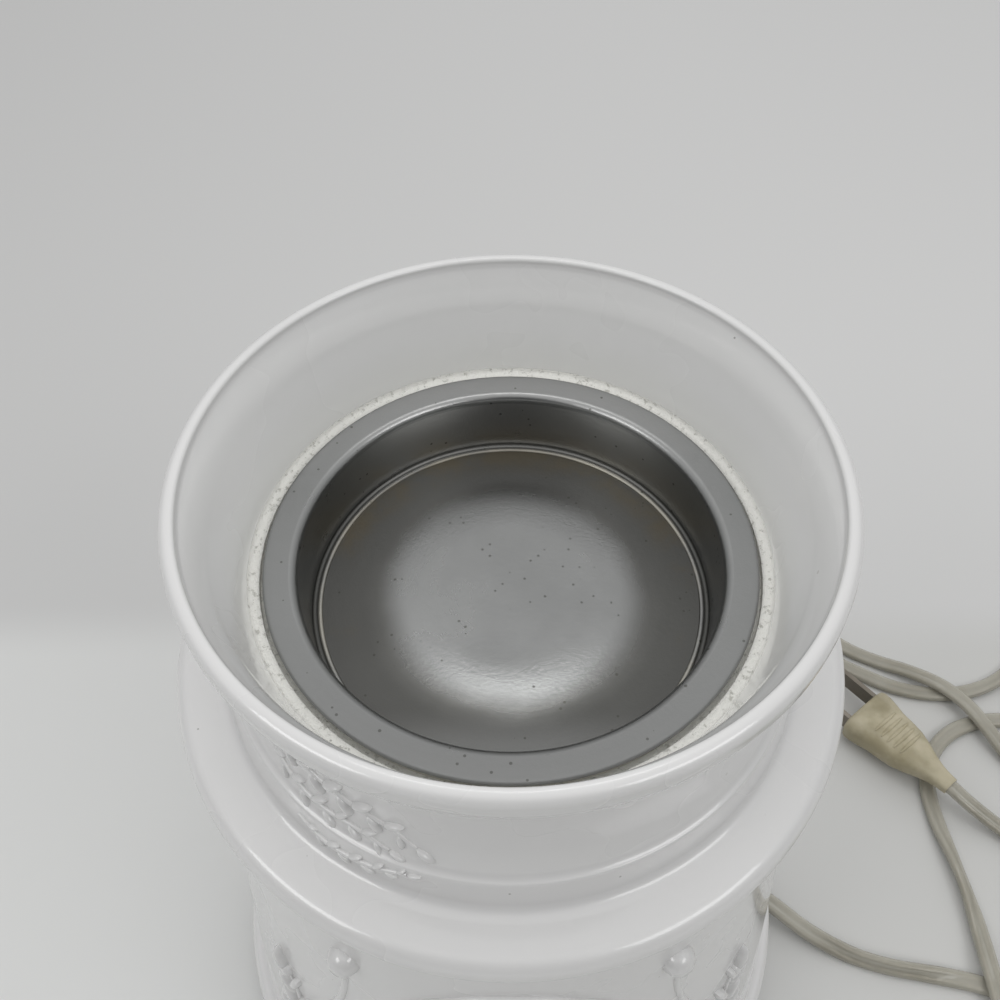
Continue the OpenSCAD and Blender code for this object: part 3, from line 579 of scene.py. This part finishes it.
def pewter_finish():
    """The dish's dull sheet metal: hazed by heat, worn pale in the middle, with a wax film at the ring, a
    painted highlight along the ring, painted shade in the crease outside it, painted light keeping the floor's
    haze weaker at the front, and painted shade at the front and painted light at the back of the wall and
    flange.
    """
    f = Finish("dull_dish_metal", Metallic=1.0)
    r, z = radius_of(f)
    y = f.parts()[1]
    floor_high, flange_low = MM * (FLANGE_Z + FLOOR_TOP + CROWN + 0.1), MM * (FLANGE_Z - 0.8)
    ring_low, ring_high = MM * (FLANGE_Z + FLOOR_TOP + 0.12), MM * (FLANGE_Z + FLOOR_TOP + RING_ROUND)
    floor_edge, wall_foot = MM * (RING_R - 0.3), MM * (RING_R + 0.1)
    turned_lines = f.noise(1400, 2, at=f.node("ShaderNodeCombineXYZ", {}, {0: r, 1: z}).out())
    cloud = f.noise(45, 4, 0.6)
    fine = f.noise(1300, 3, 0.7)
    base = f.mixed(cloud.spread(0.3, 0.7), (0.258, 0.262, 0.259), (0.288, 0.292, 0.289))
    on_floor = (z < floor_high) * (r < floor_edge)
    stray = (cloud - 0.5) * 0.004
    # Heat haze darkens the floor round its pale middle; painted light keeps it weaker at the front.
    heat_haze_painted_lighter_front = on_floor * (r + stray).spread(0.0182, 0.0245) * y.spread(-0.031, -0.022, 0.55, 1.0)
    base = f.mixed(heat_haze_painted_lighter_front * 0.85, base, (0.085, 0.084, 0.078))
    on_wall = (z < flange_low) * (r > wall_foot)
    # Painted shade darkens the wall at the front, and painted light lightens it at the back.
    base = f.mixed(on_wall * y.spread(0.012, -0.006) * 0.2, base, (0.12, 0.12, 0.115))
    base = f.mixed(on_wall * y.spread(0.010, 0.034) * 0.7, base, (0.52, 0.52, 0.51))
    on_flange = z > flange_low
    # Painted shade darkens the flange at the front, and painted light lightens it at the back.
    base = f.mixed(on_flange * y.spread(-0.010, -0.040) * 0.35, base, (0.19, 0.19, 0.187))
    base = f.mixed(on_flange * y.spread(0.010, 0.040) * 0.5, base, (0.40, 0.40, 0.395))
    film = (z < floor_high) * (r < wall_foot) * r.spread(0.026, 0.032)
    film = film * (f.noise(90, 4, 0.65) + y * 8).spread(0.50, 0.85)
    base = f.mixed(film * 0.5, base, (0.15, 0.12, 0.07))
    # Painted highlight: a pale line along the ring's bead.
    ring_painted_highlight = (z > ring_low) * (z < ring_high) * (r > 0.0326) * (r < 0.0338)
    base = f.mixed(ring_painted_highlight * cloud.spread(0.30, 0.65) * 0.8, base, (0.50, 0.48, 0.42))
    # Painted shade: a dark line in the crease between the ring and the foot of the wall.
    groove = (z < floor_high) * r.spread(0.0335, 0.0339)
    base = f.mixed(groove * 0.6, base, (0.05, 0.048, 0.04))
    base = f.mixed(f.dots(800, 0.20, 0.20) * 0.6, base, (0.06, 0.06, 0.05))
    crumbs = (f.cells(520) + f.noise(2500, 2) * 0.12 < 0.15) * (f.cells(520, "Color") > 0.90)
    base = f.mixed(crumbs * 0.45, base, (0.05, 0.05, 0.045))
    roll = (r < 0.0366) * (r > 0.0345)
    rough = cloud.spread(0.3, 0.7, 0.47, 0.53) - roll * 0.2
    rough = rough - on_floor * (r + stray).spread(0.027, 0.022) * 0.24 + (turned_lines - 0.5) * 0.03
    skin = f.bump(fine, 0.00003)
    skin = f.bump(turned_lines, 0.000006, skin)
    return f.give(Base_Color=base, Roughness=rough, Normal=skin)


def clear_vinyl_finish():
    """Clear cord sheath gone a little amber."""
    f = Finish("clear_vinyl", Roughness=0.16, IOR=1.5)
    cloud = f.noise(40, 3)
    colour = f.mixed(cloud.spread(0.3, 0.7), (0.50, 0.48, 0.40), (0.60, 0.58, 0.50))
    clear = cloud.spread(0.2, 0.8, 0.52, 0.62)
    return f.give(Base_Color=colour, Alpha=clear, Normal=f.bump(f.noise(300, 2), 0.0001))


def plug_finish():
    """The plug's thicker clear vinyl, more amber than the cord."""
    f = Finish("amber_vinyl", Roughness=0.3, IOR=1.5)
    cloud = f.noise(140, 3)
    colour = f.mixed(cloud.spread(0.3, 0.7), (0.49, 0.435, 0.28), (0.61, 0.55, 0.39))
    clear = cloud.spread(0.2, 0.8, 0.60, 0.78)
    return f.give(Base_Color=colour, Alpha=clear, Normal=f.bump(f.noise(500, 2), 0.0001))


def strand_finish():
    """Fine tinned strands seen through the sheath."""
    f = Finish("stranded_wire", Metallic=0.8, Roughness=0.4)
    lay_lines = f.noise(1500, 2, at=f.scaled((1, 1, 0.4)))
    colour = f.mixed(lay_lines.spread(0.35, 0.65), (0.16, 0.135, 0.10), (0.42, 0.38, 0.31))
    return f.give(Base_Color=colour, Normal=f.bump(lay_lines, 0.0002))


def cast_finish(name, colour, other, rough=0.45, metallic=0.0, scale=300, depth=0.00008):
    """A plain moulded, pressed or plated part: a slight shift of colour and a fine skin."""
    f = Finish(name, Metallic=metallic)
    cloud = f.noise(scale / 8, 3)
    mixed = f.mixed(cloud.spread(0.3, 0.7), colour, other)
    worn = f.noise(scale / 3, 3).spread(0.3, 0.7, rough - 0.06, rough + 0.08)
    return f.give(Base_Color=mixed, Roughness=worn, Normal=f.bump(f.noise(scale * 3, 3, 0.6), depth))


finishes = {
    "glaze": glaze_finish(),
    "dish_metal": pewter_finish(),
    "clear_pvc": clear_vinyl_finish(),
    "plug_vinyl": plug_finish(),
    "strands": strand_finish(),
    "pan_metal": cast_finish("pan_sheet", (0.52, 0.52, 0.51), (0.60, 0.60, 0.59), 0.38, 1.0),
    "fibre": cast_finish("seating_bead", (0.62, 0.60, 0.54), (0.70, 0.68, 0.62), 0.8, 0.0, 600, 0.0003),
    "zinc_steel": cast_finish("zinc_plate", (0.50, 0.51, 0.50), (0.62, 0.63, 0.62), 0.35, 1.0),
    "mica": cast_finish("mica_board", (0.36, 0.32, 0.26), (0.46, 0.42, 0.35), 0.6, 0.0, 700, 0.0002),
    "brass_parts": cast_finish("plain_brass", (0.62, 0.50, 0.26), (0.70, 0.58, 0.32), 0.32, 1.0),
    "lead_sleeve": cast_finish("lead_sleeve", (0.60, 0.57, 0.48), (0.68, 0.65, 0.56), 0.6),
    "block_ceramic": cast_finish("block_ceramic", (0.70, 0.68, 0.63), (0.76, 0.74, 0.69), 0.4),
    "white_plastic": cast_finish("white_moulding", (0.68, 0.66, 0.61), (0.73, 0.71, 0.66), 0.5),
    "grey_rubber": cast_finish("grey_rubber", (0.20, 0.195, 0.18), (0.26, 0.25, 0.23), 0.75, 0.0, 500, 0.0002),
    "base_paint": cast_finish("base_enamel", (0.40, 0.40, 0.385), (0.45, 0.45, 0.43), 0.45, 0.1),
    "blade_metal": cast_finish("dull_blades", (0.20, 0.18, 0.15), (0.34, 0.31, 0.27), 0.4, 1.0),
    "switch_plastic": cast_finish("switch_moulding", (0.36, 0.34, 0.27), (0.42, 0.40, 0.33), 0.4),
}


# Small raised shapes set out by Geometry Nodes: one shape, copied to each spot with its own turn and size.
def set_out(name, shape, spots, slot):
    """Copies of one shape on the warmer, in the finish of a slot.

    Spots are matrices in millimetres: X and Z point along and out of the surface, and the scale is the size.
    """
    pattern = bpy.data.meshes.new(name + "_shape")
    pattern.from_pydata([tuple(p) for p in shape[0]], [], shape[1])
    pattern.materials.append(finishes[slot])
    pattern_object = bpy.data.objects.new(name + "_shape", pattern)
    bpy.context.scene.collection.objects.link(pattern_object)
    marks = bpy.data.meshes.new(name + "_spots")
    marks.from_pydata([tuple(MM * m.translation) for m in spots], [], [])
    turns = marks.attributes.new("turn", "FLOAT_VECTOR", "POINT")
    turns.data.foreach_set("vector", [x for m in spots for x in m.to_euler()])
    sizes = marks.attributes.new("size", "FLOAT", "POINT")
    sizes.data.foreach_set("value", [m.to_scale()[0] for m in spots])
    holder = bpy.data.objects.new(name, marks)
    bpy.context.scene.collection.objects.link(holder)

    tree = bpy.data.node_groups.new("copies_on_spots", "GeometryNodeTree")
    sides = tree.interface
    sides.new_socket("Geometry", in_out="INPUT", socket_type="NodeSocketGeometry")
    sides.new_socket("Shape", in_out="INPUT", socket_type="NodeSocketObject")
    sides.new_socket("Unit", in_out="INPUT", socket_type="NodeSocketFloat")
    sides.new_socket("Finish", in_out="INPUT", socket_type="NodeSocketMaterial")
    sides.new_socket("Geometry", in_out="OUTPUT", socket_type="NodeSocketGeometry")

    def add(kind, **settings):
        made = tree.nodes.new(kind)
        for key, value in settings.items():
            setattr(made, key, value)
        return made

    start, end = add("NodeGroupInput"), add("NodeGroupOutput")
    shape_in = add("GeometryNodeObjectInfo")
    copies = add("GeometryNodeInstanceOnPoints")
    turn = add("GeometryNodeInputNamedAttribute", data_type="FLOAT_VECTOR")
    turn.inputs["Name"].default_value = "turn"
    as_turn = add("FunctionNodeEulerToRotation")
    size = add("GeometryNodeInputNamedAttribute", data_type="FLOAT")
    size.inputs["Name"].default_value = "size"
    scale = add("ShaderNodeMath", operation="MULTIPLY")
    real, finish = add("GeometryNodeRealizeInstances"), add("GeometryNodeSetMaterial")
    for a, b in (
        (start.outputs["Geometry"], copies.inputs["Points"]),
        (start.outputs["Shape"], shape_in.inputs["Object"]),
        (shape_in.outputs["Geometry"], copies.inputs["Instance"]),
        (turn.outputs["Attribute"], as_turn.inputs[0]),
        (as_turn.outputs[0], copies.inputs["Rotation"]),
        (size.outputs["Attribute"], scale.inputs[0]),
        (start.outputs["Unit"], scale.inputs[1]),
        (scale.outputs[0], copies.inputs["Scale"]),
        (copies.outputs[0], real.inputs[0]),
        (real.outputs[0], finish.inputs["Geometry"]),
        (start.outputs["Finish"], finish.inputs["Material"]),
        (finish.outputs[0], end.inputs[0]),
    ):
        tree.links.new(a, b)
    copying = holder.modifiers.new("copies", "NODES")
    copying.node_group = tree
    key = {item.name: item.identifier for item in sides.items_tree if item.in_out == "INPUT"}
    copying[key["Shape"]] = pattern_object
    copying[key["Unit"]] = MM
    copying[key["Finish"]] = finishes[slot]
    bpy.context.view_layer.update()
    seen = holder.evaluated_get(bpy.context.evaluated_depsgraph_get())
    holder.data = bpy.data.meshes.new_from_object(seen)
    holder.modifiers.remove(copying)
    bpy.data.objects.remove(pattern_object)
    holder.data.shade_smooth()
    holder.data.set_sharp_from_angle(angle=math.radians(55))
    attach(holder, "warmer")
    return holder


def domed(outline, levels):
    """A closed low dome over an outline: each level shrinks the outline towards its middle and lifts it."""
    mid = np.mean(outline, axis=0)
    n = len(outline)
    points = [(*(mid + (np.array(p) - mid) * shrink), lift) for shrink, lift in levels for p in outline]
    return points, skin_of(len(levels), n)


def oval(wide, high, n, middle=0.0, start=0.0):
    """Points of an oval of that half width and half height, round a middle on X, from a start angle."""
    turns = [start + 2 * math.pi * k / n for k in range(n)]
    return [(middle + wide * math.cos(a), high * math.sin(a)) for a in turns]


# Shapes of one unit's length: a leaf that starts at its foot, a round bead and a straight rib.
LEAF = domed(oval(0.5, 0.17, 12, 0.5, math.pi), [(1.0, -0.16), (0.94, 0.10), (0.70, 0.21), (0.35, 0.25)])
BEAD = domed(oval(0.5, 0.5, 10), [(1.0, -0.3), (1.0, 0.05), (0.8, 0.28), (0.4, 0.42)])
RIB = domed(oval(0.06, 0.5, 12), [(1.0, -0.04), (1.0, 0.01), (0.6, 0.035)])

RIBS_AT, RIB_LENGTH = (7.5, 10, 12.5, 15, 17.5), 11
rib_spots = []
for x in RIBS_AT:
    high = np.interp(x, [q[0] for q in PLUG_SHAPE], [q[2] for q in PLUG_SHAPE])
    for side in (1, -1):
        rib_spots.append(PLUG_PLACE @ Matrix.Translation((x, 0, PLUG_H / 2 + side * high))
                         @ Matrix.Rotation(0 if side > 0 else math.pi, 4, "X") @ Matrix.Scale(RIB_LENGTH, 4))
plug_ribs = set_out("plug_ribs", RIB, rib_spots, "plug_vinyl")


# Plain leaf relief on the neck and the front of the body, round a bare raised field.
outer_points = np.array([p for p in OUTSIDE if COLLAR_Z + 1.9 < p[1] < RIM_Z - 7])
outer_points = outer_points[np.argsort(outer_points[:, 1])]


def on_wall(turn, z, lift=0.0):
    """The spot of the outer wall at that turn and height, or a little out from it."""
    a = math.radians(turn)
    if z < SHOULDER_Z:
        r = np.interp(z, (SKIRT_Z, SHOULDER_Z - 5), (SKIRT_R, SHOULDER_R + 0.7))
    else:
        r = np.interp(z, outer_points[:, 1], outer_points[:, 0])
    return Vector(((r + lift) * math.cos(a), (r + lift) * math.sin(a), z))


def wall_frame(turn, z, heading=0.0, size=1.0):
    """The wall at a spot: X along it in a heading in degrees from level, Z straight out of it."""
    a, h = math.radians(turn), math.radians(heading)
    level = Vector((-math.sin(a), math.cos(a), 0))
    rise = (on_wall(turn, z + 0.5) - on_wall(turn, z - 0.5)).normalized()
    out = level.cross(rise).normalized()
    x = level * math.cos(h) + rise * math.sin(h)
    axes = Matrix((x, out.cross(x), out)).transposed().to_4x4()
    return Matrix.Translation(on_wall(turn, z)) @ axes @ Matrix.Scale(size, 4)


def wall_curve(spots, parts=6):
    """A smooth run of (turn, height) spots."""
    return curved([(t, z, 0) for t, z in spots], parts)[:, :2]


def stem(spots, r, loop=False):
    """A half-sunk round bead along the wall, thinner at its ends where it isn't a loop."""
    line = [on_wall(t, z) for t, z in spots]
    n, count = 10, len(line)
    points, faces = [], []
    for i, (t, z) in enumerate(spots):
        ahead = line[(i + 1) % count] if loop or i < count - 1 else line[i]
        behind = line[i - 1] if loop or i else line[i]
        out = wall_frame(t, z).to_3x3().col[2]
        across = (ahead - behind).normalized().cross(out)
        thick = r if loop else r * (0.35 + 0.65 * math.sin(math.pi * (0.12 + 0.76 * i / (count - 1))))
        for k in range(n):
            a = 2 * math.pi * k / n
            points.append(line[i] + across * thick * math.cos(a) + out * thick * math.sin(a))
    for i in range(count if loop else count - 1):
        j = (i + 1) % count
        faces += [(i * n + k, j * n + k, j * n + (k + 1) % n, i * n + (k + 1) % n) for k in range(n)]
    if not loop:
        faces += [tuple(range(n)), tuple(reversed(range((count - 1) * n, count * n)))]
    return points, faces


def sprig(spots, size, gap, spread_angle=40):
    """Leaf spots on both sides of a stem, smaller towards its ends, and one at its tip."""
    line = [on_wall(t, z) for t, z in spots]
    along = np.concatenate([[0], np.cumsum([(b - a).length for a, b in zip(line, line[1:])])])
    out, turns, heights = [], [q[0] for q in spots], [q[1] for q in spots]
    reach, side, at = along[-1], 1, gap * 0.5
    while at < reach - gap * 0.3:
        t, z = np.interp(at, along, turns), np.interp(at, along, heights)
        t2, z2 = np.interp(at + 0.5, along, turns), np.interp(at + 0.5, along, heights)
        step = on_wall(t2, z2) - on_wall(t, z)
        here = wall_frame(t, z).to_3x3()
        heading = math.degrees(math.atan2(step.dot(here.col[1]), step.dot(here.col[0])))
        grow = 0.62 + 0.38 * math.sin(math.pi * at / reach)
        out.append(wall_frame(t, z, heading + side * spread_angle, size * grow))
        side, at = -side, at + gap / 2
    out.append(wall_frame(turns[-1], heights[-1], heading, size * 0.8))
    return out


neck_stems = [wall_curve(line) for line in (
    [(-149, 177.5), (-141, 175), (-132, 173.2), (-122, 172), (-113, 170.5), (-107, 167.5)],
    [(-143, 169.5), (-136, 167.2), (-128, 166), (-119, 166.3), (-112, 165)],
    [(-131, 161.8), (-124, 160.4), (-116, 160.9), (-108, 162.6)],
)]
neck_spots = (sprig(neck_stems[0], 4.6, 5.4) + sprig(neck_stems[1], 3.8, 4.8)
              + sprig(neck_stems[2], 3.0, 4.2, 30))
neck_leaves = set_out("neck_leaves", LEAF, neck_spots, "glaze")
neck_vines = piece("neck_vines", *joined([stem(q, 0.55) for q in neck_stems]), "warmer")

# An oval frame with beads inside it round a bare raised field, and a sprig and a bud on each side.
FRONT, FIELD_MID, FIELD_WIDE, FIELD_HIGH = -90, 88, 27, 43
BARE_SHARE, BEADS_SHARE = 0.82, 0.91


def field_spot(angle, grow=1.0):
    """The (turn, height) of a spot on the frame, or on a smaller oval inside it."""
    a = math.radians(angle)
    z = FIELD_MID + FIELD_HIGH * grow * math.sin(a)
    return FRONT + math.degrees(FIELD_WIDE * grow * math.cos(a) / on_wall(FRONT, z).xy.length), z


def bare_field(n=48):
    """The raised field: a low smooth swelling inside the frame."""
    rings = [(1.0, -0.6), (1.0, 0.25), (0.96, 0.75), (0.85, 1.05), (0.6, 1.15), (0.3, 1.15)]
    points = [on_wall(*field_spot(360 * k / n, grow * BARE_SHARE), lift)
              for grow, lift in rings for k in range(n)]
    return points, skin_of(len(rings), n)


LEAFY_STEM = ((9, 35), (22, 36), (34, 42), (42, 53), (45, 66), (45, 78), (48, 88))
BUD_STEM = ((45, 70), (40, 84), (34, 98), (31, 112), (30, 126))
frame_line = [field_spot(5 * k) for k in range(72)]
side_stems = [wall_curve([(FRONT + side * t, z) for t, z in line])
              for side in (-1, 1) for line in (LEAFY_STEM, BUD_STEM)]
front_shapes = [stem(frame_line, 1.2, loop=True), bare_field()] + [stem(q, 0.9) for q in side_stems]
front_vines = piece("front_vines", *joined(front_shapes), "warmer")
front_leaves = set_out("front_leaves", LEAF, sum((sprig(q, 9.5, 7.0) for q in side_stems[::2]), []), "glaze")
bead_spots = [wall_frame(*field_spot(10 * k, BEADS_SHARE), 0, 2.2) for k in range(36)]
bead_spots += [wall_frame(FRONT + side * t, z, 0, size)
               for t, z, size in ((30, 127, 6.5), (48, 88, 4)) for side in (-1, 1)]
front_beads = set_out("front_beads", BEAD, bead_spots, "glaze")


# Every node and piece gets its finish. The pieces that were set out already have theirs.
for entry in frame["record"]["subparts"]:
    if entry["material_slot"] in finishes:
        data = nodes[entry["node"]].data
        data.materials.clear()
        data.materials.append(finishes[entry["material_slot"]])
        if len(data.polygons):
            data.polygons.foreach_set("material_index", [0] * len(data.polygons))

for made, finish in ((body, "glaze"), (neck_vines, "glaze"), (front_vines, "glaze"), (dish, "dish_metal"),
                     (cord_sheath, "clear_pvc"), (cord_cores, "strands"), (plug_moulding, "plug_vinyl")):
    made.data.materials.append(finishes[finish])


# Table and light.
TABLE_HALF = 4


def plain_floor():
    """A pale table, darker towards the right as painted shade, and a greyer sheet behind the warmer, darker
    towards the left as painted shade.
    """
    mesh = bpy.data.meshes.new("table_top")
    mesh.from_pydata([(x * TABLE_HALF, y * TABLE_HALF, 0) for x, y in ((-1, -1), (1, -1), (1, 1), (-1, 1))],
                     [], [(0, 1, 2, 3)])
    made = bpy.data.objects.new("table_top", mesh)
    bpy.context.scene.collection.objects.link(made)
    f = Finish("pale_table", Roughness=0.55)
    x, y, z = f.parts()
    far = (y + f.noise(1.2, 1) * 0.02).spread(0.09, 0.115)
    # Painted shade: the table darkens towards the right.
    near = f.mixed((x + f.noise(5, 3) * 0.05).spread(-0.08, 0.22), (0.685, 0.69, 0.68), (0.60, 0.60, 0.585))
    # Painted shade: the sheet darkens towards the left and towards the table.
    sheet = f.mixed((x + y * 0.3).spread(-0.35, 0.3), (0.57, 0.57, 0.565), (0.66, 0.66, 0.655))
    mesh.materials.append(f.give(Base_Color=f.mixed(far, near, sheet)))


MOUTH_HIGH = 0.17


def soft_lamp(name, turn, rise, away, width, height, watts):
    """A soft lamp at that bearing and height angle from the mouth, level, and facing it."""
    a, e = math.radians(turn), math.radians(rise)
    way = Vector((math.cos(a) * math.cos(e), math.sin(a) * math.cos(e), math.sin(e)))
    data = bpy.data.lights.new(name, "AREA")
    data.shape, data.size, data.size_y, data.energy = "RECTANGLE", width, height, watts
    made = bpy.data.objects.new(name, data)
    made.location = Vector((0, 0, MOUTH_HIGH)) + way * away
    made.rotation_euler = (-way).to_track_quat("-Z", "Y").to_euler()
    bpy.context.scene.collection.objects.link(made)


plain_floor()
soft_lamp("ceiling_lamp", 89, 75, 1.4, 0.62, 0.16, 1.1)
soft_lamp("left_lamp", -148, 42, 1.3, 0.60, 0.36, 2.5)
soft_lamp("right_lamp", -40, 42, 1.3, 0.70, 0.36, 2.6)


def room_light():
    """An even pale room, a little darker towards the one who stands in front."""
    world = bpy.data.worlds.new("room")
    bpy.context.scene.world = world
    world.use_nodes = True
    n = Nodes(world.node_tree)
    back = world.node_tree.nodes["Background"]
    way = n.node("ShaderNodeTexCoord", {}, {}).out("Generated")
    x, y, z = n.parts(way)
    front = (0.0 - y - z * 0.38).spread(-0.1, 0.72)
    level = n.mixed(z.spread(0.0, 0.9), (0.42, 0.425, 0.43), (1.18, 1.18, 1.18))
    colour = n.mixed(front, level, (0.07, 0.07, 0.073))
    world.node_tree.links.new(colour.socket, back.inputs["Color"])
    back.inputs["Strength"].default_value = 0.79


room_light()
bpy.context.scene.view_settings.view_transform = "Standard"
